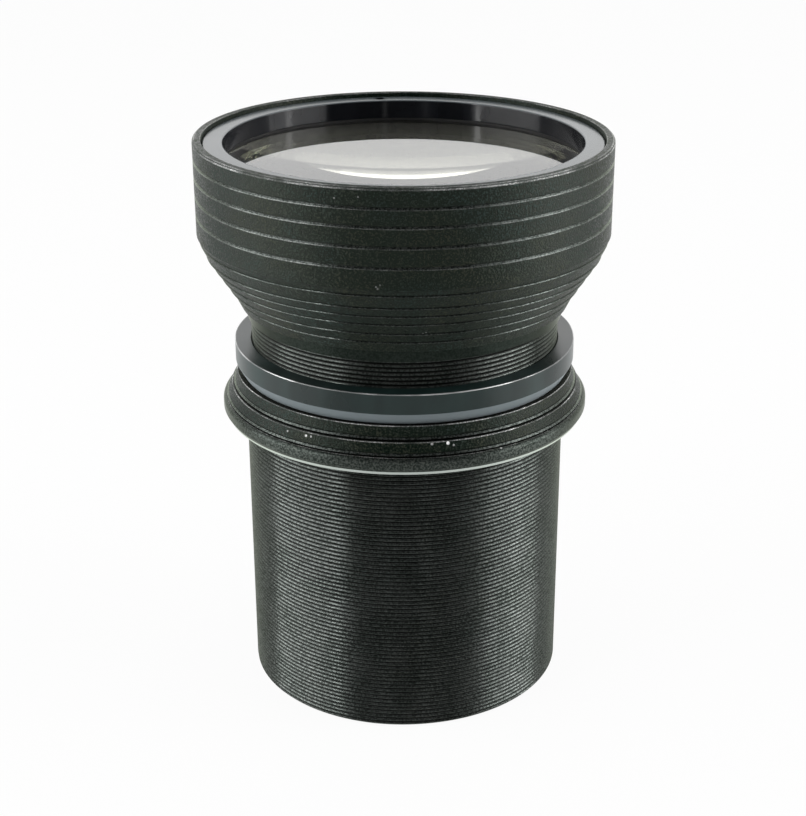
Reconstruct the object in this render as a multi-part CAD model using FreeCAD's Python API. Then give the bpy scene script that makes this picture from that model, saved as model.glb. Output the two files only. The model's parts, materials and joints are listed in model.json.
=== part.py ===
import FreeCAD, Part
import math
import os

# Barrel: a long fine outside thread, with a bore at each end
BODY_THREAD_DIAMETER = 75.0
BARREL_LENGTH = 77.1
BARREL_WALL = 3.4
FOCUS_BORE_WALL = 1.65
FOCUS_BORE_DEPTH = 27.1
REAR_SHOULDER = 30.0
REAR_LIP_HEIGHT = 3.0

# Flange of the barrel: drafted bands, each over a flared lip and a slot, above a bevelled skirt
FLANGE_WIDTH = 5.4
FLANGE_BAND_TOP_INSETS = (3.5, 2.2)
FLANGE_BAND_FOOT_INSETS = (2.95, 1.25)
FLANGE_BAND_HEIGHTS = (2.45, 2.2)
FLANGE_LIP = 0.4
FLANGE_SLOT_HEIGHT = 0.5
FLANGE_SLOT_DEPTH = 0.8
FLANGE_ROUNDING = 0.85
FLANGE_SKIRT_HEIGHT = 1.5
FLANGE_BEVEL_HEIGHT = 1.5
FLANGE_BEVEL_WIDTH = 0.9

# Lock ring, and the length of neck left bare between it and the head
LOCK_RING_WALL = 3.8
LOCK_RING_HEIGHT = 7.3
LOCK_BEVEL_HEIGHT = 2.6
LOCK_BEVEL_WIDTH = 1.5
LOCK_EDGE_BREAK = 0.25
BARE_NECK = 9.1

# Neck of the head, and the smooth collar above its thread
NECK_LENGTH = 35.5
NECK_WALL = 4.15
NECK_SHOULDER_DEPTH = 14.0
COLLAR_STEP = 0.85
COLLAR_HEIGHT = 2.8

# Head: a straight grooved wall over a taper in turned facets, listed from the wall down
TAPER_FOOT_STEP = 1.3
TAPER_FACET_WIDTHS = (0.4, 1.3, 1.5, 1.5, 1.7, 1.6, 1.1)
TAPER_FACET_HEIGHTS = (1.5, 3.1, 2.3, 2.3, 2.65, 2.45, 2.4)
TAPER_LEDGE = 0.15
WALL_STEP = 0.2
WALL_HEIGHT = 21.25
RIM_WALL = 1.9
RIM_EDGE_BREAK = 0.4
GROOVE_DROPS = (4.15, 8.05, 12.25, 16.55)
GROOVE_WIDTH = 0.8
GROOVE_DEPTH = 0.4
FRONT_POCKET_WALL = 3.2
CONE_HEIGHT = 10.6
STOP_DROP = 3.5
STOP_THICKNESS = 1.5
STOP_RADIUS = 24.0

# Retaining ring over the front glass
RING_DROP = 0.95
RING_HEIGHT = 4.4
RING_WIDTH = 4.5
RING_EDGE_BREAK = 0.3
RING_POCKET_STEP = 0.4
SEAL_THICKNESS = 0.5
SPANNER_HOLE_DIAMETER = 1.8
SPANNER_HOLE_DEPTH = 2.5
SPANNER_HOLE_ANGLES = (98.0, 278.0)

# Glass: edge thickness, and the bulge of each curved face, negative where it is hollow
FRONT_LENS_EDGE = 3.0
FRONT_LENS_BULGE = 7.0
FRONT_SPACER_HEIGHT = 8.0
SECOND_LENS_EDGE = 7.0
SECOND_LENS_TOP_BULGE = -3.6
SECOND_LENS_BOTTOM_BULGE = -1.4
THIRD_LENS_EDGE = 3.0
THIRD_LENS_BULGE = 5.0
THIRD_RING_HEIGHT = 4.0
FOURTH_LENS_EDGE = 3.5
FOURTH_LENS_TOP_BULGE = 4.0
FOURTH_LENS_BOTTOM_BULGE = 3.0
REAR_SPACER_HEIGHT = 10.0
REAR_LENS_EDGE = 5.0
REAR_LENS_BULGE = 4.0
REAR_RING_HEIGHT = 4.5
LAND_WIDTH = 2.4
SPANNER_SLOT_WIDTH = 2.0
SPANNER_SLOT_DEPTH = 1.5

# Clearances, and the lead-in at the ends of a thread
THREAD_FIT = 0.1
RING_FIT = 0.3
LENS_FIT = 0.1
THREAD_LEAD_IN = 0.4

# Radii worked out from the sizes above
body_thread_radius = BODY_THREAD_DIAMETER / 2
barrel_bore_radius = body_thread_radius - BARREL_WALL
flange_radius = body_thread_radius + FLANGE_WIDTH
focus_bore_radius = body_thread_radius - FOCUS_BORE_WALL
neck_thread_radius = focus_bore_radius - THREAD_FIT
neck_pocket_radius = neck_thread_radius - NECK_WALL
neck_bore_radius = neck_pocket_radius - LAND_WIDTH
collar_radius = neck_thread_radius + COLLAR_STEP
taper_foot_radius = collar_radius + TAPER_FOOT_STEP
wall_radius = taper_foot_radius + sum(TAPER_FACET_WIDTHS) + WALL_STEP
rim_bore_radius = wall_radius - RIM_WALL
front_pocket_radius = wall_radius - FRONT_POCKET_WALL
ring_radius = rim_bore_radius - RING_FIT
ring_clear_radius = ring_radius - RING_WIDTH
front_lens_radius = front_pocket_radius - LENS_FIT
third_lens_radius = neck_pocket_radius - LENS_FIT
rear_lens_radius = barrel_bore_radius - LENS_FIT

# Heights above the rear end of the barrel, worked out from the sizes above
flange_top = BARREL_LENGTH
focus_bore_bottom = flange_top - FOCUS_BORE_DEPTH
lock_ring_top = flange_top + LOCK_RING_HEIGHT
head_bottom = lock_ring_top + BARE_NECK
neck_bottom = head_bottom - NECK_LENGTH
neck_shoulder = neck_bottom + NECK_SHOULDER_DEPTH
wall_bottom = head_bottom + sum(TAPER_FACET_HEIGHTS)
rim_top = wall_bottom + WALL_HEIGHT
ring_top = rim_top - RING_DROP
ring_bottom = ring_top - RING_HEIGHT
glass_top = ring_bottom - SEAL_THICKNESS
front_lens_seat = glass_top - FRONT_LENS_EDGE
second_lens_top = front_lens_seat - FRONT_SPACER_HEIGHT
front_shoulder = second_lens_top - SECOND_LENS_EDGE
cone_bottom = front_shoulder - CONE_HEIGHT
stop_top = cone_bottom - STOP_DROP
third_lens_seat = neck_shoulder - THIRD_LENS_EDGE
fourth_lens_seat = REAR_SHOULDER - FOURTH_LENS_EDGE
rear_lens_top = fourth_lens_seat - REAR_SPACER_HEIGHT
rear_lens_seat = rear_lens_top - REAR_LENS_EDGE
rear_ring_bottom = rear_lens_seat - REAR_RING_HEIGHT


def at(radius, height):
    """Point of a turned outline, in the plane through the optical axis."""
    return FreeCAD.Vector(radius, 0, height)


def turned(points):
    """Solid turned about the optical axis from a closed outline of (radius, height) points.

    A point given as a pair of points is an arc: through the first, to the second.
    """
    edges = []
    start = points[0]
    for step in points[1:] + [points[0]]:
        if isinstance(step[0], tuple):
            through, end = step
            edges.append(Part.Arc(at(*start), at(*through), at(*end)).toShape())
        else:
            end = step
            edges.append(Part.LineSegment(at(*start), at(*end)).toShape())
        start = end
    face = Part.Face(Part.Wire(edges))
    return face.revolve(FreeCAD.Vector(0, 0, 0), FreeCAD.Vector(0, 0, 1), 360)


def tube(inner, outer, bottom, top):
    """Plain ring of rectangular section."""
    return turned([(inner, bottom), (outer, bottom), (outer, top), (inner, top)])


def rounded_shoulder(radius, top, rounding):
    """Quarter round at the upper outer edge of a turned wall, as two outline steps."""
    through = rounding * (1 - math.sqrt(0.5))
    return [
        (radius - rounding, top),
        ((radius - through, top - through), (radius, top - rounding)),
    ]


def dome(radius, edge_height, rise):
    """Arc of a glass face from its rim to the axis, as a (through, end) pair."""
    curve = (radius ** 2 + rise ** 2) / (2 * rise)
    middle = radius / 2
    through = edge_height + rise - curve + math.copysign(math.sqrt(curve ** 2 - middle ** 2), curve)
    return (middle, through), (0, edge_height + rise)


def lens(radius, bottom, top, bottom_bulge, top_bulge):
    """Lens with a flat land round each curved face; a bulge of zero leaves the face flat."""
    clear = radius - LAND_WIDTH
    points = [(radius, bottom), (radius, top)]
    if top_bulge:
        points += [(clear, top), dome(clear, top, top_bulge)]
    else:
        points.append((0, top))
    if bottom_bulge:
        through, pole = dome(clear, bottom, -bottom_bulge)
        points += [pole, (through, (clear, bottom))]
    else:
        points.append((0, bottom))
    return turned(points)


def pin(radius, angle, size, bottom, top):
    """Upright cylinder at a polar place, used to drill holes."""
    turn = math.radians(angle)
    place = FreeCAD.Vector(radius * math.cos(turn), radius * math.sin(turn), bottom)
    return Part.makeCylinder(size / 2, top - bottom, place)


def flange_outline():
    """Outer outline of the flange, from its top edge down to the root of the barrel thread."""
    points = []
    height = flange_top
    bands = zip(FLANGE_BAND_TOP_INSETS, FLANGE_BAND_FOOT_INSETS, FLANGE_BAND_HEIGHTS)
    for top_inset, foot_inset, band_height in bands:
        foot_radius = flange_radius - foot_inset
        lip_radius = foot_radius + FLANGE_LIP
        slot_radius = lip_radius - FLANGE_SLOT_DEPTH
        foot_height = height - band_height
        lip_height = foot_height - FLANGE_LIP
        slot_bottom = lip_height - FLANGE_SLOT_HEIGHT
        points += [
            (flange_radius - top_inset, height),
            (foot_radius, foot_height),
            (lip_radius, lip_height),
            (slot_radius, lip_height),
            (slot_radius, slot_bottom),
        ]
        height = slot_bottom
    skirt_bottom = height - FLANGE_ROUNDING - FLANGE_SKIRT_HEIGHT
    flange_bottom = skirt_bottom - FLANGE_BEVEL_HEIGHT
    points += rounded_shoulder(flange_radius, height, FLANGE_ROUNDING)
    points += [
        (flange_radius, skirt_bottom),
        (flange_radius - FLANGE_BEVEL_WIDTH, flange_bottom),
        (body_thread_radius, flange_bottom),
    ]
    return points


def rear_barrel():
    """Threaded barrel with its flange, focus bore and rear lens pocket."""
    thread_end = [(body_thread_radius, THREAD_LEAD_IN), (body_thread_radius - THREAD_LEAD_IN, 0)]
    lip_radius = barrel_bore_radius - LAND_WIDTH
    lip_top = REAR_SHOULDER + REAR_LIP_HEIGHT
    bore = [
        (barrel_bore_radius, 0),
        (barrel_bore_radius, REAR_SHOULDER),
        (lip_radius, REAR_SHOULDER),
        (lip_radius, lip_top),
        (barrel_bore_radius, lip_top),
        (barrel_bore_radius, focus_bore_bottom),
        (focus_bore_radius, focus_bore_bottom),
        (focus_bore_radius, flange_top - THREAD_LEAD_IN),
        (focus_bore_radius + THREAD_LEAD_IN, flange_top),
    ]
    return turned(flange_outline() + thread_end + bore)


def lock_ring():
    """Smooth ring that jams the neck thread against the flange."""
    outer = focus_bore_radius + LOCK_RING_WALL
    return turned([
        (focus_bore_radius, flange_top),
        (outer - LOCK_BEVEL_WIDTH, flange_top),
        (outer, flange_top + LOCK_BEVEL_HEIGHT),
        (outer, lock_ring_top - LOCK_EDGE_BREAK),
        (outer - LOCK_EDGE_BREAK, lock_ring_top),
        (focus_bore_radius, lock_ring_top),
    ])


def head_outline():
    """Outer outline of the head, from the rim down the grooved wall and taper to the collar."""
    points = [(wall_radius - RIM_EDGE_BREAK, rim_top), (wall_radius, rim_top - RIM_EDGE_BREAK)]
    for drop in GROOVE_DROPS:
        middle = rim_top - drop
        points += [
            (wall_radius, middle + GROOVE_WIDTH / 2),
            (wall_radius - GROOVE_DEPTH, middle),
            (wall_radius, middle - GROOVE_WIDTH / 2),
        ]
    points.append((wall_radius, wall_bottom))
    radius = wall_radius - WALL_STEP
    height = wall_bottom
    points.append((radius, height))
    facets = list(zip(TAPER_FACET_WIDTHS, TAPER_FACET_HEIGHTS))
    for width, facet_height in facets[:-1]:
        radius -= width
        height -= facet_height
        points += [(radius - TAPER_LEDGE, height), (radius, height)]
    return points + [(taper_foot_radius, head_bottom), (collar_radius, head_bottom)]


def front_cell():
    """Head, taper and threaded neck, turned in one piece and bored for the glass."""
    collar_bottom = head_bottom - COLLAR_HEIGHT
    shoulder_radius = front_pocket_radius - LAND_WIDTH
    ring_pocket_bottom = glass_top - RING_POCKET_STEP
    outer = head_outline() + [
        (collar_radius, collar_bottom),
        (neck_thread_radius, collar_bottom),
        (neck_thread_radius, neck_bottom + THREAD_LEAD_IN),
        (neck_thread_radius - THREAD_LEAD_IN, neck_bottom),
    ]
    bore = [
        (neck_pocket_radius, neck_bottom),
        (neck_pocket_radius, neck_shoulder),
        (neck_bore_radius, neck_shoulder),
        (neck_bore_radius, stop_top - STOP_THICKNESS),
        (STOP_RADIUS, stop_top - STOP_THICKNESS),
        (STOP_RADIUS, stop_top),
        (neck_bore_radius, stop_top),
        (neck_bore_radius, cone_bottom),
        (shoulder_radius, front_shoulder),
        (front_pocket_radius, front_shoulder),
        (front_pocket_radius, ring_pocket_bottom),
        (rim_bore_radius, ring_pocket_bottom),
        (rim_bore_radius, rim_top),
    ]
    return turned(outer + bore)


def front_retaining_ring():
    """Glossy ring over the front glass, with two blind spanner holes."""
    ring = turned([
        (ring_clear_radius, ring_bottom),
        (ring_radius, ring_bottom),
        (ring_radius, ring_top - RING_EDGE_BREAK),
        (ring_radius - RING_EDGE_BREAK, ring_top),
        (ring_clear_radius + RING_EDGE_BREAK, ring_top),
        (ring_clear_radius, ring_top - RING_EDGE_BREAK),
    ])
    hole_circle = (ring_clear_radius + ring_radius) / 2
    hole_bottom = ring_top - SPANNER_HOLE_DEPTH
    for angle in SPANNER_HOLE_ANGLES:
        ring = ring.cut(pin(hole_circle, angle, SPANNER_HOLE_DIAMETER, hole_bottom, ring_top))
    return ring


def slotted_ring(outer, bottom, top):
    """Inner retaining ring with a spanner slot across its rear face on both sides."""
    slot = Part.makeBox(2 * outer, SPANNER_SLOT_WIDTH, SPANNER_SLOT_DEPTH)
    slot.translate(FreeCAD.Vector(-outer, -SPANNER_SLOT_WIDTH / 2, bottom))
    return tube(outer - LAND_WIDTH, outer, bottom, top).cut(slot)


def build():
    """All the pieces by node name."""
    front_land = front_lens_radius - LAND_WIDTH
    rear_land = rear_lens_radius - LAND_WIDTH
    return {
        "rear_barrel": rear_barrel(),
        "lock_ring": lock_ring(),
        "front_cell": front_cell(),
        "front_retaining_ring": front_retaining_ring(),
        "front_seal": tube(ring_clear_radius, front_lens_radius, glass_top, ring_bottom),
        "front_lens": lens(front_lens_radius, front_lens_seat, glass_top, FRONT_LENS_BULGE, 0),
        "front_spacer": tube(front_land, front_lens_radius, second_lens_top, front_lens_seat),
        "second_lens": lens(
            front_lens_radius, front_shoulder, second_lens_top,
            SECOND_LENS_BOTTOM_BULGE, SECOND_LENS_TOP_BULGE,
        ),
        "third_lens": lens(third_lens_radius, third_lens_seat, neck_shoulder, THIRD_LENS_BULGE, 0),
        "third_lens_ring": slotted_ring(
            third_lens_radius, third_lens_seat - THIRD_RING_HEIGHT, third_lens_seat,
        ),
        "fourth_lens": lens(
            rear_lens_radius, fourth_lens_seat, REAR_SHOULDER,
            FOURTH_LENS_BOTTOM_BULGE, FOURTH_LENS_TOP_BULGE,
        ),
        "rear_spacer": tube(rear_land, rear_lens_radius, rear_lens_top, fourth_lens_seat),
        "rear_lens": lens(rear_lens_radius, rear_lens_seat, rear_lens_top, 0, REAR_LENS_BULGE),
        "rear_retaining_ring": slotted_ring(rear_lens_radius, rear_ring_bottom, rear_lens_seat),
    }


os.makedirs("parts", exist_ok=True)
for name, shape in build().items():
    shape.exportStep("parts/" + name + ".step")
    box = shape.optimalBoundingBox()
    print(name, shape.isValid(), len(shape.Solids), round(shape.Volume / 1000, 2), "cm3",
          "z %.2f to %.2f" % (box.ZMin, box.ZMax), "r %.2f" % box.XMax)
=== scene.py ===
import json
import logging
import math
from dataclasses import dataclass, field
from enum import Enum
from typing import Iterable, Optional, Sequence, Union

import bmesh
import bpy
import numpy as np
from mathutils import Matrix, Vector


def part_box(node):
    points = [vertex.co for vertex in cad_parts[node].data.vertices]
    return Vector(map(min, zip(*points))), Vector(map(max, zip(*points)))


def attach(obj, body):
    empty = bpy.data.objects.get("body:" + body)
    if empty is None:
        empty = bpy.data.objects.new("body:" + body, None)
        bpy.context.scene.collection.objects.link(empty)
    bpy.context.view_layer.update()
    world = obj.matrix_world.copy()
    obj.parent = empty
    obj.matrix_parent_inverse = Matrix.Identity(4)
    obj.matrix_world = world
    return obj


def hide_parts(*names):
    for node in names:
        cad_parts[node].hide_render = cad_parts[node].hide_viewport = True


log = logging.getLogger("lens")

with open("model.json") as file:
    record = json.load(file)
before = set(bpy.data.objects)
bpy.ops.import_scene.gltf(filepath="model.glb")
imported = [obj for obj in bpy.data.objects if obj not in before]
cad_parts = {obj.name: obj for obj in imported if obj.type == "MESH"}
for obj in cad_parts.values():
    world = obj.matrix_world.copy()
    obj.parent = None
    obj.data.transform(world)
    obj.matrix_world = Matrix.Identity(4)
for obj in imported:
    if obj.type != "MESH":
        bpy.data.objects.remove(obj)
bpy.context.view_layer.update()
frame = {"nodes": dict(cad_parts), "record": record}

MM = 0.001
COLUMNS = 256
GLASS_COLUMNS = 128
ROWS_PER_TURN = 4
# The snap and the plays, which are gaps at a radius, are in millimetres, and the merge in metres.
END_SNAP = 0.01
NECK_PLAY = 0.1
RING_PLAY = 0.3
MERGE_DISTANCE = 1e-8
NOISE_MEAN = 0.5
QUARTER_TURN = 0.25
# A thread's flanks meet its crests at 63 degrees and shade as rounded. Steeper edges stay crisp.
SHARP_ANGLE = math.radians(70.0)


class Body(Enum):
    """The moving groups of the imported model."""

    BARREL = "barrel"
    FRONT = "front_group"
    LOCK_RING = "lock_ring"


# What corners and threads write onto the mesh, painted shade among it, and how far each kind of cut
# is bare metal.
MARKS = ("wear", "bare", "smooth", "soil")
CUT_SHINE = 0.17
LEDGE_SHINE = 0.1
BAND_SHINE = 0.065
COLLAR_SHINE = 0.015


@dataclass(frozen=True)
class Corner:
    """One corner of a turned outline, in millimetres.

    Args:
        radius: distance from the optical axis.
        height: height above the rear end.
        bevel: length of the small round that breaks the corner, zero for none.
        wear: how much the anodising is rubbed through at the corner, 0 to 1.
        bare: how far the facet beside the corner is bare machined metal, 0 to 1. On smooth
            anodising it paints a pale sheen instead.
        smooth: how far the facet beside the corner was left unblasted, 0 to 1.
        soil: how much painted shade darkens the corner, in recesses and slots, 0 to 1.
    """

    radius: float
    height: float
    bevel: float = 0.0
    wear: float = 0.0
    bare: float = 0.0
    smooth: float = 0.0
    soil: float = 0.0

    def marks(self) -> list[float]:
        """The corner's marks, in the order of MARKS."""
        return [self.wear, self.bare, self.smooth, self.soil]


@dataclass(frozen=True)
class Thread:
    """Outside thread between two heights, listed from its upper end down, in millimetres."""

    crest_radius: float
    high: float
    low: float
    pitch: float = 1.0
    depth: float = 0.58
    crest_share: float = 0.32
    root_share: float = 0.1
    lead_in: float = 0.4
    wear: float = 0.055
    bare: float = 0.12
    smooth: float = 0.0

    def phases(self) -> np.ndarray:
        """Places within one turn where the section changes: crest, flank, root, flank, crest."""
        flank = (1.0 - self.crest_share - self.root_share) / 2
        return np.array([0.0, self.crest_share, self.crest_share + flank, 1.0 - flank, 1.0])

    def rows(self, columns: int) -> tuple[np.ndarray, np.ndarray, np.ndarray]:
        """Works out the thread's surface on a grid whose rows follow the helix.

        A row starts at its own place in a turn and rises by one pitch round the axis. Heights
        are held between the two ends, and those just below the upper end are moved to it, so
        that no thin slivers are left. The radius is the crest less the depth times a trapezium
        wave of the place within the turn.

        Args:
            columns: points round the axis.

        Returns:
            Radius and height as arrays of rows by columns, and the marks of each row.
        """
        phases = self.phases()
        turns = math.ceil((self.high - self.low) / self.pitch) + 2
        start = np.arange(turns * ROWS_PER_TURN + 1)
        place = start // ROWS_PER_TURN + phases[start % ROWS_PER_TURN]
        rise = self.pitch * np.arange(columns) / columns
        height = self.high - self.pitch * place[:, None] + rise
        height = np.where(height > self.high - END_SNAP, self.high, height).clip(min=self.low)
        within = ((self.high + rise - height) / self.pitch) % 1.0
        radius = self.crest_radius - self.depth * np.interp(within, phases, [0, 0, 1, 1, 0])
        radius = np.minimum(radius, self.crest_radius - self.lead_in + height - self.low)
        crest = np.where(start % ROWS_PER_TURN < 2, 1.0, 0.0)
        upper_edge = np.where(start % ROWS_PER_TURN == 0, 1.0, 0.0)
        # The last mark, painted shade, darkens the roots.
        marks = [crest * self.wear, upper_edge * self.bare, crest * self.smooth, 1.0 - crest]
        return radius, height, np.stack(marks, axis=1)


Outline = Sequence[Union[Corner, Thread]]


def arc(centre: tuple[float, float], radius: float, start: float, end: float, steps: int,
        bare: float = 0.0) -> list[Corner]:
    """Corners along a circular arc of an outline.

    Args:
        centre: radius and height of the arc's centre.
        radius: the arc's own radius.
        start: first angle in degrees, from the outward direction towards up.
        end: last angle in degrees.
        steps: number of runs that the arc is divided into.
        bare: how far the arc is bare metal.

    Returns:
        The corners in order.
    """
    angles = np.radians(np.linspace(start, end, steps + 1))
    return [Corner(centre[0] + radius * math.cos(a), centre[1] + radius * math.sin(a), bare=bare)
            for a in angles]


def add_object(name: str, data: bpy.types.ID) -> bpy.types.Object:
    """Puts data into the scene as an object at the origin."""
    made = bpy.data.objects.new(name, data)
    bpy.context.scene.collection.objects.link(made)
    return made


def shade(mesh: bpy.types.Mesh) -> None:
    """Shades a mesh as smooth, apart from its sharp edges."""
    mesh.polygons.foreach_set("use_smooth", np.ones(len(mesh.polygons), dtype=bool))
    mesh.set_sharp_from_angle(angle=SHARP_ANGLE)


class TurnedSurface:
    """Surface made by carrying an outline round the optical axis."""

    FADE = 0.12
    BEVEL_LIMIT = 0.4
    GUARD_LIMIT = 0.48
    ROUND_PULL = 0.58

    def __init__(self, outline: Outline, columns: int = COLUMNS, closed: bool = True) -> None:
        """Works out the grid of the surface.

        Args:
            outline: corners and threads, clockwise as seen with the axis on the left.
            columns: points round the axis.
            closed: whether the last corner joins the first.
        """
        self.columns = columns
        self.closed = closed
        radius, height, marks, seam = [], [], [], []
        for index, item in enumerate(outline):
            first = sum(len(block) for block in radius)
            if isinstance(item, Thread):
                rows = item.rows(columns)
                count = len(rows[2])
                radius.append(rows[0])
                height.append(rows[1])
                marks.append(rows[2])
                seam.append(first + np.maximum(np.arange(count) - ROWS_PER_TURN, 0))
                continue
            points = self._softened(outline, index)
            count = len(points)
            radius.append(np.repeat(points[:, 0:1], columns, axis=1))
            height.append(np.repeat(points[:, 1:2], columns, axis=1))
            marks.append(points[:, 2:])
            seam.append(first + np.arange(count))
        self.radius = np.concatenate(radius)
        self.height = np.concatenate(height)
        self.marks = np.concatenate(marks)
        self.seam = np.concatenate(seam)

    def _softened(self, outline: Outline, index: int) -> np.ndarray:
        """Rows of one corner: itself, or a small round with guard rows that end its wear.

        The round's points are the corner moved towards each neighbour by the bevel, and one
        between their middle and the corner.
        """
        corner = outline[index]
        if not corner.bevel:
            return np.array([[corner.radius, corner.height, *corner.marks()]])
        here = np.array([corner.radius, corner.height])
        sides = []
        for step in (-1, 1):
            neighbour = outline[(index + step) % len(outline)]
            if isinstance(neighbour, Thread):
                near_end = neighbour.high if step > 0 else neighbour.low
                other = np.array([neighbour.crest_radius - neighbour.lead_in, near_end])
                facet = (0.0, min(corner.smooth, neighbour.smooth))
            else:
                other = np.array([neighbour.radius, neighbour.height])
                facet = (min(corner.bare, neighbour.bare), min(corner.smooth, neighbour.smooth))
            run = other - here
            length = np.linalg.norm(run)
            reach = min(corner.bevel, self.BEVEL_LIMIT * length)
            guard = min(corner.bevel + self.FADE, self.GUARD_LIMIT * length)
            sides.append((here + run / length * reach, here + run / length * guard, facet))
        (before, guard_before, facet_before), (after, guard_after, facet_after) = sides
        middle = (before + after) / 2 * (1 - self.ROUND_PULL) + here * self.ROUND_PULL
        return np.array([
            [*guard_before, 0.0, *facet_before, 0.0],
            [*before, corner.wear, *facet_before, corner.soil],
            [*middle, *corner.marks()],
            [*after, corner.wear, *facet_after, corner.soil],
            [*guard_after, 0.0, *facet_after, 0.0],
        ])

    def mesh(self, name: str) -> bpy.types.Mesh:
        """Puts the grid into a mesh, with the marks as its attributes.

        A point is (radius cos a, radius sin a, height). Along a thread the last column joins
        the row one turn up, so that the helix goes on across the seam.

        Args:
            name: the mesh's name.

        Returns:
            The mesh, with coincident points merged and sharp edges marked.
        """
        turn = 2 * math.pi * np.arange(self.columns) / self.columns
        across, along = self.radius * np.cos(turn), self.radius * np.sin(turn)
        points = np.stack([across, along, self.height], axis=-1)
        index = np.arange(self.radius.size).reshape(self.radius.shape)
        right = np.concatenate([index[:, 1:], index[self.seam, 0:1]], axis=1)
        below, right_below = np.roll(index, -1, axis=0), np.roll(right, -1, axis=0)
        quads = np.stack([index, below, right_below, right], axis=-1)
        if not self.closed:
            quads = quads[:-1]
        made = bpy.data.meshes.new(name)
        made.from_pydata(points.reshape(-1, 3) * MM, [], quads.reshape(-1, 4).tolist())
        for label, rows in zip(MARKS, self.marks.T):
            layer = made.attributes.new(label, "FLOAT", "POINT")
            layer.data.foreach_set("value", np.repeat(rows, self.columns).astype(np.float32))
        work = bmesh.new()
        work.from_mesh(made)
        bmesh.ops.remove_doubles(work, verts=work.verts, dist=MERGE_DISTANCE)
        work.to_mesh(made)
        work.free()
        shade(made)
        return made

    def piece(self, name: str) -> bpy.types.Object:
        """The surface as an object of the scene, at the origin."""
        return add_object(name, self.mesh(name))


class Value:
    """A number in a node tree, which Python's operators turn into Math nodes."""

    def __init__(self, shader: "Shader", socket: bpy.types.NodeSocket) -> None:
        """Keeps the shader that holds the socket."""
        self.shader = shader
        self.socket = socket

    def maths(self, operation: str, *others: Union["Value", float]) -> "Value":
        """Adds a Math node.

        Args:
            operation: the node's operation.
            others: further operands after this one.

        Returns:
            The node's result.
        """
        node = self.shader.node("ShaderNodeMath", {"operation": operation}, [self, *others])
        return Value(self.shader, node.outputs[0])

    def __add__(self, other: Union["Value", float]) -> "Value":
        """This plus other."""
        return self.maths("ADD", other)

    __radd__ = __add__

    def __sub__(self, other: Union["Value", float]) -> "Value":
        """This less other."""
        return self.maths("SUBTRACT", other)

    def __rsub__(self, other: float) -> "Value":
        """Other less this."""
        return self.maths("MULTIPLY", -1.0).maths("ADD", other)

    def __mul__(self, other: Union["Value", float]) -> "Value":
        """This times other."""
        return self.maths("MULTIPLY", other)

    __rmul__ = __mul__

    def larger(self, other: Union["Value", float]) -> "Value":
        """The larger of the two."""
        return self.maths("MAXIMUM", other)

    def step(self, low: float, high: float) -> "Value":
        """Smooth step from 0 at low to 1 at high."""
        node = self.shader.node(
            "ShaderNodeMapRange", {"interpolation_type": "SMOOTHSTEP"},
            {"Value": self, "From Min": low, "From Max": high},
        )
        return Value(self.shader, node.outputs["Result"])


Feed = Union[Value, bpy.types.NodeSocket, float, Sequence[float]]


@dataclass(frozen=True)
class Spots:
    """Soft spots made of noise.

    Args:
        scale: features to the metre.
        detail: octaves of finer noise.
        band: the noise at which the spots start and are full.
        weight: how far they stand out, 0 to 1.
    """

    scale: float
    detail: float
    band: tuple[float, float]
    weight: float


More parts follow.
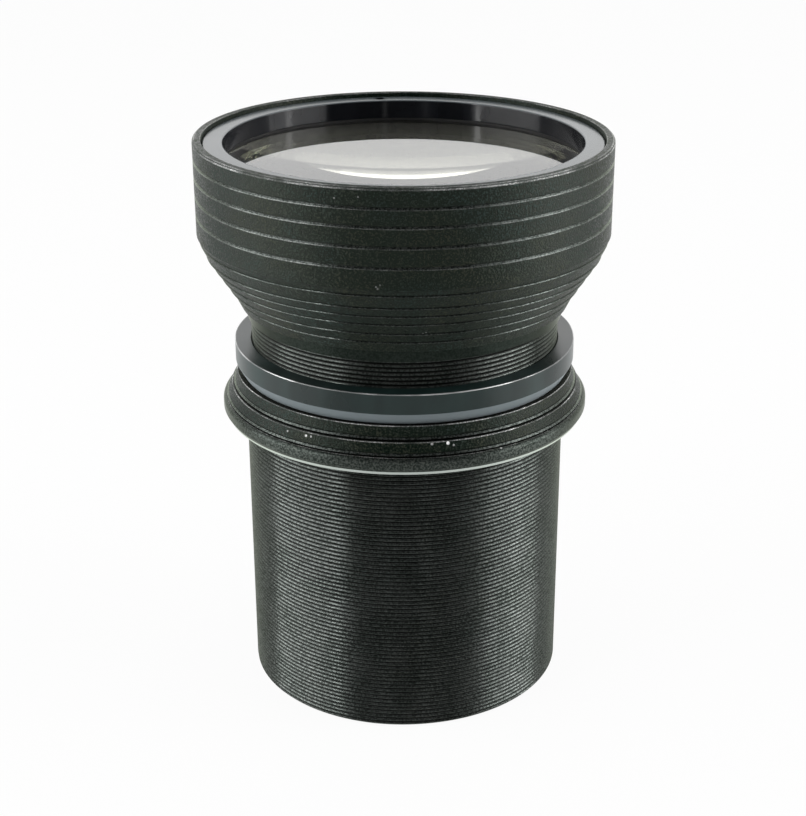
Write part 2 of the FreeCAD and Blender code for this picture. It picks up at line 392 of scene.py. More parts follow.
class Shader:
    """A node tree under construction, for a material or the world."""

    CHIP_CORE = 0.6

    def __init__(self, owner: Union[bpy.types.Material, bpy.types.World]) -> None:
        """Empties the owner's tree and starts with its output node."""
        owner.use_nodes = True
        self.owner = owner
        self.tree = owner.node_tree
        self.tree.nodes.clear()
        kind = "World" if isinstance(owner, bpy.types.World) else "Material"
        self.output = self.tree.nodes.new("ShaderNodeOutput" + kind)

    def node(
        self, kind: str, settings: Optional[dict] = None,
        inputs: Union[dict, Sequence[Feed], None] = None,
    ) -> bpy.types.Node:
        """Adds a node.

        Args:
            kind: the node's type.
            settings: properties, set before the inputs.
            inputs: values or links for its sockets, by name or in order.

        Returns:
            The node.
        """
        made = self.tree.nodes.new(kind)
        for key, value in (settings or {}).items():
            setattr(made, key, value)
        pairs = inputs.items() if isinstance(inputs, dict) else enumerate(inputs or ())
        for key, feed in pairs:
            source = feed.socket if isinstance(feed, Value) else feed
            if isinstance(source, bpy.types.NodeSocket):
                self.tree.links.new(source, made.inputs[key])
            else:
                made.inputs[key].default_value = source
        return made

    def place(self) -> bpy.types.NodeSocket:
        """Object coordinates, in metres."""
        return self.node("ShaderNodeTexCoord").outputs["Object"]

    def attribute(self, name: str) -> Value:
        """A number stored on the mesh."""
        node = self.node("ShaderNodeAttribute", {"attribute_name": name})
        return Value(self, node.outputs["Fac"])

    def noise(self, scale: float, detail: float = 2.0,
              stretch: Sequence[float] = (1, 1, 1)) -> Value:
        """Noise over the piece.

        Args:
            scale: features to the metre.
            detail: octaves of finer noise.
            stretch: factors on the coordinates before the noise.

        Returns:
            The noise, NOISE_MEAN on average.
        """
        where = self.node("ShaderNodeMapping", {"vector_type": "POINT"},
                          {"Vector": self.place(), "Scale": stretch}).outputs[0]
        made = self.node("ShaderNodeTexNoise", None,
                         {"Vector": where, "Scale": scale, "Detail": detail})
        return Value(self, made.outputs[0])

    def spots(self, spots: Spots) -> Value:
        """1 within the spots, and 1 less their weight between them."""
        shown = self.noise(spots.scale, spots.detail).step(*spots.band)
        return shown * spots.weight + (1 - spots.weight)

    def near(self, chips: Sequence["Chip"]) -> Value:
        """Marks the chips: full brightness in the core of each, and 0 beyond its radius.

        Args:
            chips: the chips, at least one.

        Returns:
            The largest of the chips' marks.
        """
        marks = []
        for chip in chips:
            apart = self.node("ShaderNodeVectorMath", {"operation": "DISTANCE"},
                              [self.place(), [part * MM for part in chip.place]])
            reach = chip.radius * MM
            outside = Value(self, apart.outputs["Value"]).step(self.CHIP_CORE * reach, reach)
            marks.append((1 - outside) * chip.brightness)
        mask = marks[0]
        for mark in marks[1:]:
            mask = mask.larger(mark)
        return mask

    def blend(self, amount: Feed, first: Feed, second: Feed) -> bpy.types.NodeSocket:
        """Mix of two colours, from the first at 0 to the second at 1."""
        made = self.node("ShaderNodeMix", {"data_type": "RGBA"}, {0: amount, 6: first, 7: second})
        return made.outputs[2]

    def bump(self, height: Value, strength: float, distance: float) -> bpy.types.NodeSocket:
        """Bumped normal from a height."""
        return self.node("ShaderNodeBump", None, {
            "Height": height, "Strength": strength, "Distance": distance,
        }).outputs[0]

    def end(self, shown: bpy.types.Node) -> None:
        """Ends the tree in a node's result."""
        self.tree.links.new(shown.outputs[0], self.output.inputs["Surface"])

    def surface(self, inputs: dict) -> None:
        """Ends the tree in a Principled surface with the given inputs."""
        self.end(self.node("ShaderNodeBsdfPrincipled", None, inputs))

    def mixed(self, amount: Value, first: bpy.types.Node, second: bpy.types.Node) -> None:
        """Ends the tree in a mix of two shaders, from the first at 0 to the second at 1."""
        inputs = [amount, first.outputs[0], second.outputs[0]]
        self.end(self.node("ShaderNodeMixShader", None, inputs))


def grey(value: float, tint: Sequence[float] = (1, 1, 1)) -> tuple[float, float, float, float]:
    """Grey of a lightness, tinted."""
    return (value * tint[0], value * tint[1], value * tint[2], 1.0)


@dataclass(frozen=True)
class Chip:
    """Chip in a finish: its place and radius in millimetres, and how bright it is, 0 to 1."""

    place: tuple[float, float, float]
    radius: float
    brightness: float


@dataclass(frozen=True)
class BlastedAnodise:
    """Blasted black anodising: glinting grain, smooth cuts, chips, dots on rubbed edges, painted
    shade.
    """

    DOTS = Spots(4200.0, 1.0, (0.5, 0.62), 0.75)
    PATCHES = Spots(110.0, 2.0, (0.38, 0.62), 0.8)
    WARM_PATCHES = Spots(60.0, 5.0, (0.4, 0.6), 1.0)
    GLINT_BAND = (0.52, 0.64)
    MOTTLE_BAND = (0.38, 0.62)
    MOTTLE_LOW = 0.4
    MOTTLE_RISE = 1.2
    EVEN_CUTS = (0.3, 0.6)
    CUT_EDGE = 0.1
    CUT_METAL = 0.95
    RUB_METAL = 0.6
    SMOOTH_METAL = 0.7
    PAINTED_SHADE_METAL = 0.7
    PAINTED_SHADE_EDGE = 0.6
    PAINTED_SHADE_BLACK = 0.0008
    PAINTED_SHADE_ROUGHNESS = 0.2
    CHIP_GREY = 0.9

    name: str
    chips: tuple[Chip, ...]
    dark: tuple[float, float, float] = (0.0014, 0.0052, 0.0030)
    glint: tuple[float, float, float] = (0.048, 0.066, 0.060)
    warm_glint: tuple[float, float, float] = (0.060, 0.066, 0.050)
    metal: tuple[float, float, float] = (0.55, 0.60, 0.57)
    tint: tuple[float, float, float] = (0.95, 1.0, 0.88)
    rub: float = 0.75
    gloss: float = 0.17
    roughness: float = 0.5
    roughness_swing: float = 1.5
    cut_roughness: float = 0.3
    stretch: float = 0.85
    grain_scale: float = 2400.0
    grain_height: float = 0.00014

    def material(self) -> bpy.types.Material:
        """Builds the material."""
        made = bpy.data.materials.new(self.name)
        shader = Shader(made)
        wear, bare, smooth, soil = (shader.attribute(name) for name in MARKS)
        # Painted shade: marked recesses, slots, thread roots and the flange top under the lock ring
        # turn black.
        soil = soil.step(0.0, self.PAINTED_SHADE_EDGE)
        grain = shader.noise(self.grain_scale)
        cut = bare.step(0.0, self.CUT_EDGE)
        mottle = grain.step(*self.MOTTLE_BAND) * self.MOTTLE_RISE + self.MOTTLE_LOW
        mottle = mottle.larger(bare.step(*self.EVEN_CUTS))
        blasted = 1 - smooth.larger(cut)
        glints = grain.step(*self.GLINT_BAND) * blasted * (1 - soil)
        warmth = shader.spots(self.WARM_PATCHES)
        glint = shader.blend(warmth, (*self.glint, 1.0), (*self.warm_glint, 1.0))
        rubbed = wear * shader.spots(self.DOTS) * shader.spots(self.PATCHES)
        chipped = shader.near(self.chips)
        skin = shader.blend(glints, (*self.dark, 1.0), glint)
        skin = shader.blend(soil, skin, grey(self.PAINTED_SHADE_BLACK))
        skin = shader.blend(rubbed, skin, grey(self.rub))
        skin = shader.blend(bare * mottle, skin, (*self.metal, 1.0))
        skin = shader.blend(chipped, skin, grey(self.CHIP_GREY))
        dull = (grain - NOISE_MEAN) * self.roughness_swing + self.roughness
        dull = dull * blasted + (1 - blasted) * self.cut_roughness + soil * self.PAINTED_SHADE_ROUGHNESS
        metallic = glints.larger(rubbed * self.RUB_METAL).larger(cut * self.CUT_METAL)
        metallic = metallic.larger(smooth * self.SMOOTH_METAL).larger(soil * self.PAINTED_SHADE_METAL)
        shader.surface({
            "Base Color": skin,
            "Roughness": dull,
            "Metallic": metallic * (1 - chipped),
            "Specular IOR Level": self.gloss,
            "Specular Tint": (*self.tint, 1.0),
            "Anisotropic": self.stretch,
            "Anisotropic Rotation": QUARTER_TURN,
            "Normal": shader.bump(grain * blasted, 1.0, self.grain_height),
        })
        return made


@dataclass(frozen=True)
class SmoothAnodise:
    """Smooth black anodising over fine turning lines, which stretch its highlights upright, with
    painted streaks and sheen.
    """

    LINES = (2600.0, 1.0, (0.02, 0.02, 1.0))
    LINE_STRENGTH = 0.4
    CLOUDS = (45.0, 4.0)
    # Painted reflection: upright streaks in the colour stand in for reflections of narrow lamps.
    PAINTED_STREAKS = (130.0, 2.0, (1.0, 1.0, 0.03))
    STREAK_BAND = (0.35, 0.65)
    STREAK_GAIN = 2.0
    STREAK_ROUGHNESS = 0.2
    SHEEN_ROUGHNESS = 0.15
    RUBBED = Spots(70.0, 2.0, (0.45, 0.56), 0.7)
    RUB_GREY = 0.6
    RUB_METAL = 0.6

    name: str
    colour: tuple[float, float, float] = (0.007, 0.015, 0.014)
    # Painted sheen: the pale colour of marked facets, which stands in for their reflection.
    painted_sheen: tuple[float, float, float] = (0.16, 0.19, 0.20)
    gloss: float = 0.3
    roughness: float = 0.3
    stretch: float = 0.85
    line_height: float = 0.000004

    def material(self) -> bpy.types.Material:
        """Builds the material."""
        made = bpy.data.materials.new(self.name)
        shader = Shader(made)
        wear, bare = shader.attribute("wear"), shader.attribute("bare")
        lines = shader.noise(*self.LINES)
        # Random clouds of tone, and painted upright streaks of reflection.
        clouds_and_streaks = (shader.noise(*self.CLOUDS) + shader.noise(*self.PAINTED_STREAKS)) * 0.5
        rubbed = wear * shader.spots(self.RUBBED)
        lighter = [self.STREAK_GAIN * part for part in self.colour]
        skin = shader.blend(clouds_and_streaks.step(*self.STREAK_BAND), (*self.colour, 1.0), (*lighter, 1.0))
        # Painted sheen on marked facets.
        skin = shader.blend(bare, skin, (*self.painted_sheen, 1.0))
        dull = self.roughness + (clouds_and_streaks - NOISE_MEAN) * self.STREAK_ROUGHNESS
        shader.surface({
            "Base Color": shader.blend(rubbed, skin, grey(self.RUB_GREY)),
            "Roughness": dull + bare * self.SHEEN_ROUGHNESS,
            "Metallic": rubbed * self.RUB_METAL,
            "Specular IOR Level": self.gloss,
            "Anisotropic": self.stretch,
            "Anisotropic Rotation": QUARTER_TURN,
            "Normal": shader.bump(lines, self.LINE_STRENGTH, self.line_height),
        })
        return made


@dataclass(frozen=True)
class CoatedGlass:
    """Polished glass with a little dust on it. A low index makes coated faces reflect less."""

    CLARITY = 0.99
    DUST_GREY = 0.4
    DUST_NOISE = (2300.0, 1.0)
    DUST_BAND = (0.64, 0.74)

    name: str
    index: float = 1.52
    dust: float = 0.0
    tint: tuple[float, float, float] = (1.0, 1.0, 0.96)

    def material(self) -> bpy.types.Material:
        """Builds the material."""
        made = bpy.data.materials.new(self.name)
        shader = Shader(made)
        clear = shader.node("ShaderNodeBsdfPrincipled", None, {
            "Base Color": grey(self.CLARITY, self.tint),
            "Roughness": 0.0,
            "IOR": self.index,
            "Transmission Weight": 1.0,
        })
        dull = shader.node("ShaderNodeBsdfDiffuse", None, {"Color": grey(self.DUST_GREY)})
        specks = shader.noise(*self.DUST_NOISE).step(*self.DUST_BAND)
        shader.mixed(specks * self.dust, clear, dull)
        return made


@dataclass(frozen=True)
class DullBlack:
    """Dull black of rubber or of blackened inner metal."""

    GRAIN_SCALE = 3000.0
    GRAIN_SPREAD = 0.3
    GRAIN_STRENGTH = 0.3
    GRAIN_HEIGHT = 0.00002

    name: str
    colour: float = 0.01
    roughness: float = 0.6

    def material(self) -> bpy.types.Material:
        """Builds the material."""
        made = bpy.data.materials.new(self.name)
        shader = Shader(made)
        grain = shader.noise(self.GRAIN_SCALE)
        darker, lighter = (grey(self.colour * (1 + side * self.GRAIN_SPREAD)) for side in (-1, 1))
        shader.surface({
            "Base Color": shader.blend(grain, darker, lighter),
            "Roughness": self.roughness,
            "Normal": shader.bump(grain, self.GRAIN_STRENGTH, self.GRAIN_HEIGHT),
        })
        return made


def seat(piece: bpy.types.Object, body: Body, nodes: Iterable[str],
         material: bpy.types.Material) -> None:
    """Dresses a piece, makes it ride on its body and hides the nodes that it stands for.

    Args:
        piece: the new piece.
        body: the body that carries it.
        nodes: the nodes that it stands for.
        material: its finish.
    """
    piece.data.materials.append(material)
    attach(piece, body.value)
    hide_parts(*nodes)
    log.info("%s: %d faces on %s", piece.name, len(piece.data.polygons), body.value)


def extent(node: str) -> tuple[float, float]:
    """Lowest and highest height of a node, in millimetres."""
    low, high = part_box(node)
    return low.z / MM, high.z / MM


@dataclass
class Barrel:
    """Rear barrel: fine outside thread, stepped flange, focus bore and rear pocket."""

    thread_radius: float
    wall: float = 3.4
    focus_wall: float = 1.65
    focus_depth: float = 27.1
    shoulder: float = 30.0
    lip_height: float = 3.0
    land: float = 2.4
    flange_width: float = 5.4
    band_top_insets: tuple[float, ...] = (3.5, 2.2)
    band_foot_insets: tuple[float, ...] = (2.95, 1.25)
    band_heights: tuple[float, ...] = (2.45, 2.2)
    lip: float = 0.4
    relief: float = 0.18
    slot_height: float = 0.5
    slot_depth: float = 0.8
    rounding: float = 0.85
    rounding_start: float = 78.0
    rounding_steps: int = 6
    painted_shade_margin: float = 0.25
    skirt: float = 1.5
    bevel_height: float = 1.5
    bevel_width: float = 0.9
    bevel_black_share: float = 0.5
    lead_in: float = 0.4
    top: float = field(default_factory=lambda: extent("rear_barrel")[1])

    def flange(self) -> list[Corner]:
        """Corners of the flange, from its top edge down to the foot of its bevel."""
        edge = self.thread_radius + self.flange_width
        corners = []
        height = self.top
        for top, foot, band in zip(self.band_top_insets, self.band_foot_insets, self.band_heights):
            foot_height = height - band
            lip_radius = edge - foot + self.lip
            lip_height = foot_height - self.lip
            slot_bottom = lip_height - self.slot_height
            corners += [
                Corner(edge - top, height, bevel=0.1, wear=1.0),
                Corner(edge - foot, foot_height + self.relief, bevel=0.03),
                # Painted shade: a dark line above each lip, and black slots below it.
                Corner(edge - foot - self.relief, foot_height, bevel=0.05, soil=1.0),
                Corner(edge - foot, foot_height - self.relief / 2, bevel=0.03, bare=CUT_SHINE),
                Corner(lip_radius, lip_height, bevel=0.04, bare=CUT_SHINE),
                Corner(lip_radius - self.slot_depth, lip_height, soil=1.0),
                Corner(lip_radius - self.slot_depth, slot_bottom, soil=1.0),
            ]
            height = slot_bottom
        corners.append(Corner(edge - self.rounding, height, bevel=0.08, wear=1.0))
        centre = (edge - self.rounding, height - self.rounding)
        corners += arc(centre, self.rounding, self.rounding_start, 0.0, self.rounding_steps,
                       BAND_SHINE)
        skirt_bottom = height - self.rounding - self.skirt
        for share, bare in ((0.0, BAND_SHINE), (self.bevel_black_share, 1.0), (1.0, 1.0)):
            radius = edge - share * self.bevel_width
            drop = share * self.bevel_height
            corners.append(Corner(radius, skirt_bottom - drop, bevel=0.04, bare=bare))
        return corners

    def build(self, finish: bpy.types.Material) -> None:
        """Makes the barrel."""
        focus = self.thread_radius - self.focus_wall
        bore = self.thread_radius - self.wall
        focus_bottom = self.top - self.focus_depth
        flange = self.flange()
        outline = [
            # Painted shade in the mouth of the focus bore and on the flange top under the lock
            # ring.
            Corner(focus, self.top - self.lead_in, soil=1.0),
            Corner(focus + self.lead_in, self.top, soil=1.0),
            Corner(flange[0].radius - self.painted_shade_margin, self.top, soil=1.0),
            *flange,
            Thread(self.thread_radius, flange[-1].height, 0.0, lead_in=self.lead_in),
            Corner(bore, 0.0, bevel=0.1, wear=0.4),
            Corner(bore, self.shoulder),
            Corner(bore - self.land, self.shoulder),
            Corner(bore - self.land, self.shoulder + self.lip_height),
            Corner(bore, self.shoulder + self.lip_height),
            Corner(bore, focus_bottom),
            Corner(focus, focus_bottom),
        ]
        piece = TurnedSurface(outline).piece("barrel_shell")
        seat(piece, Body.BARREL, ["rear_barrel"], finish)


@dataclass
class LockRing:
    """Smooth ring round the neck, bevelled towards the flange."""

    bore: float
    wall: float = 3.8
    bevel_height: float = 2.6
    bevel_width: float = 1.5

    def build(self, finish: bpy.types.Material) -> None:
        """Makes the lock ring."""
        low, high = extent("lock_ring")
        outer = self.bore + self.wall
        outline = [
            Corner(self.bore, high, bevel=0.2),
            Corner(outer, high, bevel=0.14, wear=0.9),
            # Painted sheen on the bevel, which stands in for its reflection.
            Corner(outer, low + self.bevel_height, bevel=0.1, bare=1.0),
            Corner(outer - self.bevel_width, low, bevel=0.1, bare=1.0),
            Corner(self.bore, low),
        ]
        piece = TurnedSurface(outline).piece("lock_ring_shell")
        seat(piece, Body.LOCK_RING, ["lock_ring"], finish)


@dataclass
class Head:
    """Front cell: grooved wall, faceted taper, collar, threaded neck and its bores."""

    neck_radius: float
    neck_length: float = 35.5
    neck_wall: float = 4.15
    neck_shoulder: float = 14.0
    neck_shine: float = 0.09
    collar_step: float = 0.85
    collar_height: float = 2.8
    taper_foot_step: float = 1.3
    facet_widths: tuple[float, ...] = (0.4, 1.3, 1.5, 1.5, 1.7, 1.6, 1.1)
    facet_heights: tuple[float, ...] = (1.5, 3.1, 2.3, 2.3, 2.65, 2.45, 2.4)
    ledge: float = 0.15
    ledge_lip_inset: float = 0.12
    ledge_lip_rise: float = 0.05
    wall_step: float = 0.2
    wall_height: float = 21.25
    rim_wall: float = 1.9
    rim_break: float = 0.4
    groove_drops: tuple[float, ...] = (4.15, 8.05, 12.25, 16.55)
    groove_width: float = 0.8
    groove_depth: float = 0.4
    pocket_wall: float = 3.2
    glass_drop: float = 5.85
    pocket_depth: float = 18.0
    ring_pocket_step: float = 0.4
    cone_height: float = 10.6
    stop_drop: float = 3.5
    stop_thickness: float = 1.5
    stop_radius: float = 24.0
    land: float = 2.4
    lead_in: float = 0.4

    @property
    def wall_radius(self) -> float:
        """Radius of the straight wall."""
        foot = self.neck_radius + self.collar_step + self.taper_foot_step
        return foot + sum(self.facet_widths) + self.wall_step

    def outside(self, low: float, top: float) -> list[Union[Corner, Thread]]:
        """Outer side from the rim down to the end of the neck."""
        wall = self.wall_radius
        rows = [Corner(wall - self.rim_break, top, bevel=0.12, wear=0.7),
                Corner(wall, top - self.rim_break, bevel=0.12, wear=0.8)]
        for drop in self.groove_drops:
            middle = top - drop
            rows += [
                Corner(wall, middle + self.groove_width / 2, bevel=0.03),
                # Painted shade at the bottom of each groove.
                Corner(wall - self.groove_depth, middle, bevel=0.03, bare=CUT_SHINE, soil=0.6),
                Corner(wall, middle - self.groove_width / 2, bevel=0.05, wear=0.3, bare=CUT_SHINE),
            ]
        height = top - self.wall_height
        radius = wall - self.wall_step
        rows += [Corner(wall, height), Corner(radius, height)]
        for width, fall in list(zip(self.facet_widths, self.facet_heights))[:-1]:
            radius -= width
            height -= fall
            rows += [
                # Painted shade: a dark line above each ledge.
                Corner(radius - self.ledge, height + self.ledge / 2, bevel=0.05, soil=1.0),
                Corner(radius - self.ledge_lip_inset, height + self.ledge_lip_rise, bevel=0.02,
                       bare=LEDGE_SHINE),
                Corner(radius, height - self.ledge, bevel=0.04, wear=0.1, bare=LEDGE_SHINE),
            ]
        head_bottom = low + self.neck_length
        collar = self.neck_radius + self.collar_step
        collar_bottom = head_bottom - self.collar_height
        return rows + [
            Corner(collar + self.taper_foot_step, head_bottom, bevel=0.08),
            Corner(collar, head_bottom, smooth=1.0, bare=COLLAR_SHINE),
            Corner(collar, collar_bottom, bevel=0.1, smooth=1.0, bare=COLLAR_SHINE),
            Thread(self.neck_radius, collar_bottom, low, lead_in=self.lead_in, bare=self.neck_shine,
                   smooth=1.0),
        ]

    def inside(self, low: float, top: float) -> list[Corner]:
        """Bores from the end of the neck up to the rim."""
        pocket = self.neck_radius - self.neck_wall
        bore = pocket - self.land
        front_pocket = self.wall_radius - self.pocket_wall
        rim_bore = self.wall_radius - self.rim_wall
        glass = top - self.glass_drop
        front_shoulder = glass - self.pocket_depth
        cone_bottom = front_shoulder - self.cone_height
        stop_top = cone_bottom - self.stop_drop
        points = [
            (pocket, low),
            (pocket, low + self.neck_shoulder),
            (bore, low + self.neck_shoulder),
            (bore, stop_top - self.stop_thickness),
            (self.stop_radius, stop_top - self.stop_thickness),
            (self.stop_radius, stop_top),
            (bore, stop_top),
            (bore, cone_bottom),
            (front_pocket - self.land, front_shoulder),
            (front_pocket, front_shoulder),
            (front_pocket, glass - self.ring_pocket_step),
            (rim_bore, glass - self.ring_pocket_step),
        ]
        return [Corner(*point) for point in points] + [Corner(rim_bore, top, bevel=0.12, wear=0.5)]

    def build(self, finish: bpy.types.Material) -> None:
        """Makes the head."""
        low, top = extent("front_cell")
        outline = self.outside(low, top) + self.inside(low, top)
        piece = TurnedSurface(outline).piece("head_shell")
        seat(piece, Body.FRONT, ["front_cell"], finish)


@dataclass
class RetainingRing:
    """Glossy ring over the front glass, with two blind spanner holes."""

    outer: float
    width: float = 4.5
    edge_break: float = 0.3
    # Painted sheen: how far the top face is lightened, in place of its reflection.
    painted_top_sheen: float = 0.45
    hole_diameter: float = 1.8
    hole_depth: float = 2.5
    hole_segments: int = 40
    hole_angles: tuple[float, ...] = (98.0, 278.0)

    def drill(self, top: float) -> bpy.types.Object:
        """Both holes as one cutter."""
        middle = self.outer - self.width / 2
        radius = self.hole_diameter / 2 * MM
        work = bmesh.new()
        for angle in self.hole_angles:
            turn = math.radians(angle)
            place = Vector((middle * math.cos(turn), middle * math.sin(turn), top)) * MM
            bmesh.ops.create_cone(
                work, cap_ends=True, segments=self.hole_segments, radius1=radius, radius2=radius,
                depth=2 * self.hole_depth * MM, matrix=Matrix.Translation(place),
            )
        mesh = bpy.data.meshes.new("drill")
        work.to_mesh(mesh)
        work.free()
        return add_object("drill", mesh)

    def build(self, finish: bpy.types.Material) -> None:
        """Makes the ring and drills it."""
        low, high = extent("front_retaining_ring")
        inner = self.outer - self.width
        outline = [
            Corner(inner, high, bevel=self.edge_break, bare=self.painted_top_sheen),
            Corner(self.outer, high, bevel=self.edge_break, bare=self.painted_top_sheen),
            Corner(self.outer, low),
            Corner(inner, low, bevel=0.1),
        ]
        piece = TurnedSurface(outline).piece("glass_ring")
        cutter = self.drill(high)
        cut = piece.modifiers.new("holes", "BOOLEAN")
        cut.operation = "DIFFERENCE"
        cut.solver = "EXACT"
        cut.object = cutter
        scene_state = bpy.context.evaluated_depsgraph_get()
        drilled = bpy.data.meshes.new_from_object(piece.evaluated_get(scene_state))
        piece.modifiers.clear()
        piece.data = drilled
        shade(drilled)
        bpy.data.objects.remove(cutter)
        seat(piece, Body.FRONT, ["front_retaining_ring"], finish)


@dataclass
class Glass:
    """One glass, with a flat land round each curved face."""

    node: str
    body: Body
    radius: float
    edge: float
    top_bulge: float
    bottom_bulge: float
    land: float = 2.4
    steps: int = 24

    def face(self, height: float, bulge: float) -> list[Corner]:
        """Corners of a face from its pole out to its land: a circle's arc, or a flat.

        At distance r the arc lies at the pole's height less c - sqrt(c*c - r*r), where c is the
        radius of the sphere through the pole and the land.
        """
        clear = self.radius - self.land
        if not bulge:
            return [Corner(0.0, height), Corner(clear, height)]
        curve = (clear ** 2 + bulge ** 2) / (2 * abs(bulge))
        reach = np.linspace(0.0, clear, self.steps)
        fall = curve - np.sqrt(curve ** 2 - reach ** 2)
        rise = height + bulge - math.copysign(1.0, bulge) * fall
        return [Corner(float(r), float(z)) for r, z in zip(reach, rise)]

    def build(self, finish: bpy.types.Material) -> None:
        """Makes the glass, hung from its highest edge or pole."""
        top = extent(self.node)[1] - max(self.top_bulge, 0.0)
        bottom = top - self.edge
        outline = [
            *self.face(top, self.top_bulge),
            Corner(self.radius, top, bevel=0.15),
            Corner(self.radius, bottom, bevel=0.15),
            *self.face(bottom, -self.bottom_bulge)[::-1],
        ]
        piece = TurnedSurface(outline, GLASS_COLUMNS, closed=False).piece(self.node + "_glass")
        seat(piece, self.body, [self.node], finish)


@dataclass(frozen=True)
class Lamp:
    """Area lamp, placed by its direction from the object.

    Args:
        name: the lamp's name.
        azimuth: degrees from the camera's side towards the right.
        elevation: degrees above the level.
        distance: metres from the object.
        size: width and height in metres.
        radiance: brightness of its face, where 1 is white.
    """

    name: str
    azimuth: float
    elevation: float
    distance: float
    size: tuple[float, float]
    radiance: float


class Studio:
    """Pale floor, world, lamps and the camera."""

    FOCAL_PIXELS = 1613.76
    PHOTO_HEIGHT = 816
    CENTRE_SHIFT = (-42.78, 0.5)
    CAMERA_PLACE = (0.0, -0.35745, 0.21397)
    CAMERA_YAW = -0.0273
    CAMERA_PITCH = 0.3954
    CAMERA_ROLL = 0.0073
    CLIP_START = 0.01
    SENSOR = 36.0
    AIM = Vector((0.0, 0.0, 0.09))
    FLOOR_REACH = 6.0
    FLOOR_HEIGHT = -0.0002
    FLOOR_GREY = 0.85
    FLOOR_GLOW = 0.94
    BEHIND_BAND = (-0.35, 0.6)
    ABOVE_BAND = (0.5, 0.95)
    BACK_LEVEL = 0.7
    TOP_LEVEL = 0.2
    FRONT_LEVEL = 0.03

    def camera(self) -> None:
        """Puts the camera at the photograph's viewing angle."""
        data = bpy.data.cameras.new("camera")
        data.sensor_width = self.SENSOR
        data.lens = self.FOCAL_PIXELS / self.PHOTO_HEIGHT * self.SENSOR
        data.shift_x = self.CENTRE_SHIFT[0] / self.PHOTO_HEIGHT
        data.shift_y = self.CENTRE_SHIFT[1] / self.PHOTO_HEIGHT
        data.clip_start = self.CLIP_START
        made = add_object("camera", data)
        turn = Matrix.Rotation(self.CAMERA_YAW, 4, "Z")
        turn = turn @ Matrix.Rotation(math.pi / 2 - self.CAMERA_PITCH, 4, "X")
        turn = turn @ Matrix.Rotation(self.CAMERA_ROLL, 4, "Z")
        made.matrix_world = Matrix.Translation(self.CAMERA_PLACE) @ turn
        bpy.context.scene.camera = made

    def seen(self, shader: Shader) -> Value:
        """1 on rays that show the background itself: from the camera, a gloss or a glass."""
        path = shader.node("ShaderNodeLightPath")
        rays = [Value(shader, path.outputs[name])
                for name in ("Is Camera Ray", "Is Glossy Ray", "Is Transmission Ray")]
        return rays[0].larger(rays[1]).larger(rays[2])

    def floor(self) -> None:
        """Pale floor that keeps part of the object's shadow."""
        sides = ((-1, -1), (1, -1), (1, 1), (-1, 1))
        corners = [(x * self.FLOOR_REACH, y * self.FLOOR_REACH, self.FLOOR_HEIGHT)
                   for x, y in sides]
        mesh = bpy.data.meshes.new("floor")
        mesh.from_pydata(corners, [], [(0, 1, 2, 3)])
        made = add_object("floor", mesh)
        shader = Shader(bpy.data.materials.new("floor_white"))
        diffuse = shader.node("ShaderNodeBsdfDiffuse", None, {"Color": grey(self.FLOOR_GREY)})
        glow = shader.node("ShaderNodeEmission", None, {"Color": grey(1.0), "Strength": 1.0})
        shader.mixed(self.seen(shader) * self.FLOOR_GLOW, diffuse, glow)
        mesh.materials.append(shader.owner)

    def world(self) -> None:
        """Soft surroundings, white behind and above the object and dim on the camera's side.

        Glossy and transmission rays see the white behind the object at full strength, as the
        photograph shows it, and camera rays see white all round in the other views.
        """
        world = bpy.data.worlds.new("studio")
        bpy.context.scene.world = world
        shader = Shader(world)
        toward = shader.node("ShaderNodeTexCoord").outputs["Generated"]
        split = shader.node("ShaderNodeSeparateXYZ", None, [toward])
        behind = Value(shader, split.outputs[1]).step(*self.BEHIND_BAND)
        above = Value(shader, split.outputs[2]).step(*self.ABOVE_BAND)
        light = (behind * self.BACK_LEVEL).larger(above * self.TOP_LEVEL) + self.FRONT_LEVEL
        camera = Value(shader, shader.node("ShaderNodeLightPath").outputs["Is Camera Ray"])
        level = light.larger(self.seen(shader) * behind).larger(camera)
        inputs = {"Color": grey(1.0), "Strength": level}
        shader.end(shader.node("ShaderNodeBackground", None, inputs))

    def lamp(self, lamp: Lamp) -> None:
        """Adds a lamp that faces the object, whose power is pi times its radiance and area."""
        data = bpy.data.lights.new(lamp.name, "AREA")
        data.shape = "RECTANGLE"
        data.size, data.size_y = lamp.size
        data.energy = lamp.radiance * math.pi * lamp.size[0] * lamp.size[1]
        turn, lift = math.radians(lamp.azimuth), math.radians(lamp.elevation)
        level = math.cos(lift)
        away = Vector((math.sin(turn) * level, -math.cos(turn) * level, math.sin(lift)))
        facing = away.to_track_quat("Z", "Y").to_matrix().to_4x4()
        made = add_object(lamp.name, data)
        made.matrix_world = Matrix.Translation(self.AIM + away * lamp.distance) @ facing

    def build(self) -> None:
        """Sets up the whole studio."""
        self.camera()
        self.floor()
        self.world()
        for lamp in LAMPS:
            self.lamp(lamp)
        bpy.context.scene.view_settings.view_transform = "Standard"


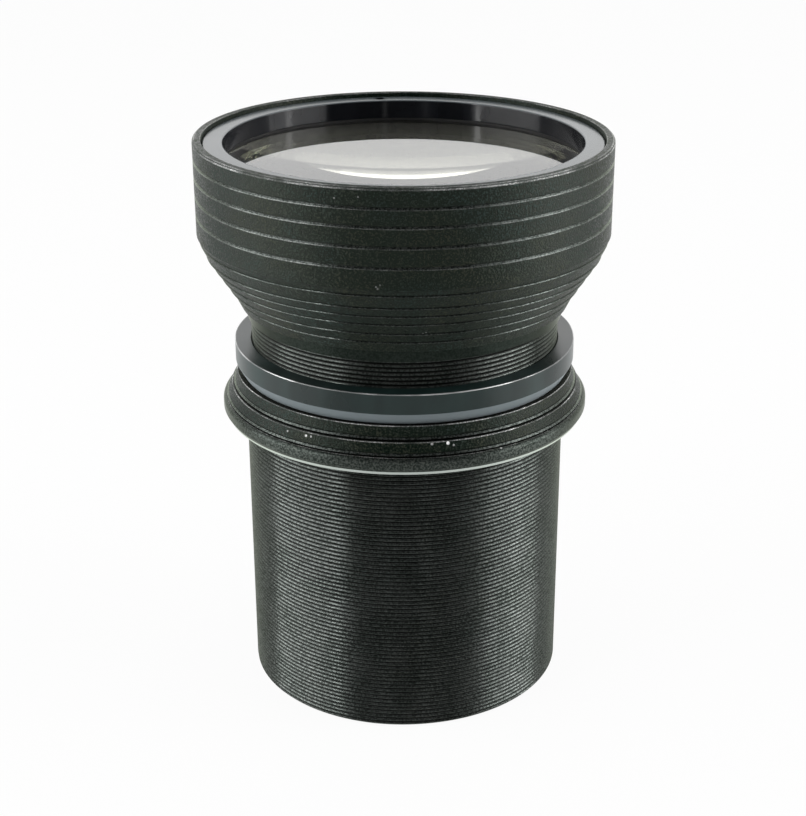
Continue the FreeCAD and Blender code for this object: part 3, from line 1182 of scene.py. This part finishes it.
LAMPS = (
    Lamp("back_window", 180.0, 26.0, 1.5, (1.5, 0.75), 0.6),
    Lamp("left_window", -78.0, 5.0, 1.2, (1.05, 0.42), 7.2),
    Lamp("left_high_window", -84.0, 38.0, 1.2, (1.05, 0.78), 1.9),
    Lamp("left_strip", -51.3, 24.0, 1.2, (0.08, 0.7), 14.0),
    Lamp("right_window", 78.0, 5.0, 1.2, (1.05, 0.42), 7.2),
    Lamp("right_high_window", 84.0, 38.0, 1.2, (1.05, 0.78), 1.9),
    Lamp("right_strip", 84.0, 24.0, 1.15, (0.08, 0.7), 8.0),
    Lamp("near_left_strip", -14.6, 24.0, 1.2, (0.07, 0.6), 0.8),
    Lamp("near_right_strip", 13.0, 24.0, 1.2, (0.05, 0.6), 1.4),
)
BARREL_CHIPS = (
    Chip((5.75, -40.46, 73.36), 0.36, 0.35),
    Chip((9.21, -39.84, 73.31), 0.44, 1.0),
    Chip((10.44, -39.76, 72.80), 0.30, 0.3),
    Chip((-25.76, -32.01, 72.86), 0.30, 0.4),
    Chip((-21.59, -34.89, 72.98), 0.34, 0.8),
    Chip((-20.47, -35.52, 73.06), 0.30, 0.35),
    Chip((20.87, -36.55, 70.61), 0.34, 0.8),
)
HEAD_CHIPS = (
    Chip((-4.99, -46.94, 111.32), 0.22, 0.12),
    Chip((-5.80, -46.84, 110.93), 0.24, 0.12),
    Chip((-5.50, -46.88, 110.52), 0.26, 0.14),
    Chip((-13.99, -45.08, 128.93), 0.22, 0.22),
    Chip((-9.19, -46.30, 129.47), 0.22, 0.18),
    Chip((3.78, -40.53, 98.52), 0.26, 0.2),
    Chip((4.41, -40.63, 98.77), 0.24, 0.25),
)
GLASSES = (
    Glass("front_lens", Body.FRONT, 43.9, 3.0, 0.0, 7.0),
    Glass("second_lens", Body.FRONT, 43.9, 7.0, -3.6, -1.4),
    Glass("third_lens", Body.FRONT, 31.5, 3.0, 0.0, 5.0),
    Glass("fourth_lens", Body.BARREL, 34.0, 3.5, 4.0, 3.0),
    Glass("rear_lens", Body.BARREL, 34.0, 5.0, 4.0, 0.0),
)
INNER_NODES = ("front_spacer", "third_lens_ring", "rear_spacer", "rear_retaining_ring")


def main() -> None:
    """Builds the studio and every piece in order."""
    logging.basicConfig(level=logging.INFO)
    Studio().build()
    mounts = {mount["name"]: mount for mount in frame["record"]["mounts"]}
    thread_radius = mounts["mount_thread"]["dims"]["r_mm"]
    barrel = Barrel(thread_radius)
    focus_bore = thread_radius - barrel.focus_wall
    head = Head(focus_bore - NECK_PLAY)
    barrel.build(BlastedAnodise("barrel_anodise", BARREL_CHIPS).material())
    LockRing(focus_bore).build(SmoothAnodise("lock_ring_anodise").material())
    head.build(BlastedAnodise("head_anodise", HEAD_CHIPS, gloss=0.22).material())
    ring = RetainingRing(head.wall_radius - head.rim_wall - RING_PLAY)
    ring_finish = SmoothAnodise("glass_ring_anodise", (0.006, 0.0065, 0.008), gloss=0.35,
                                roughness=0.14, stretch=0.6)
    ring.build(ring_finish.material())
    glass = CoatedGlass("inner_glass", index=1.15).material()
    dusty = CoatedGlass("front_glass", index=1.62, dust=0.3, tint=(1.0, 1.0, 0.86)).material()
    for element in GLASSES:
        element.build(dusty if element.node == "front_lens" else glass)
    inner = DullBlack("inner_black").material()
    for node in INNER_NODES:
        frame["nodes"][node].material_slots[0].material = inner
    seal = DullBlack("seal_rubber", 0.006).material()
    frame["nodes"]["front_seal"].material_slots[0].material = seal


if __name__ == "__main__":
    main()
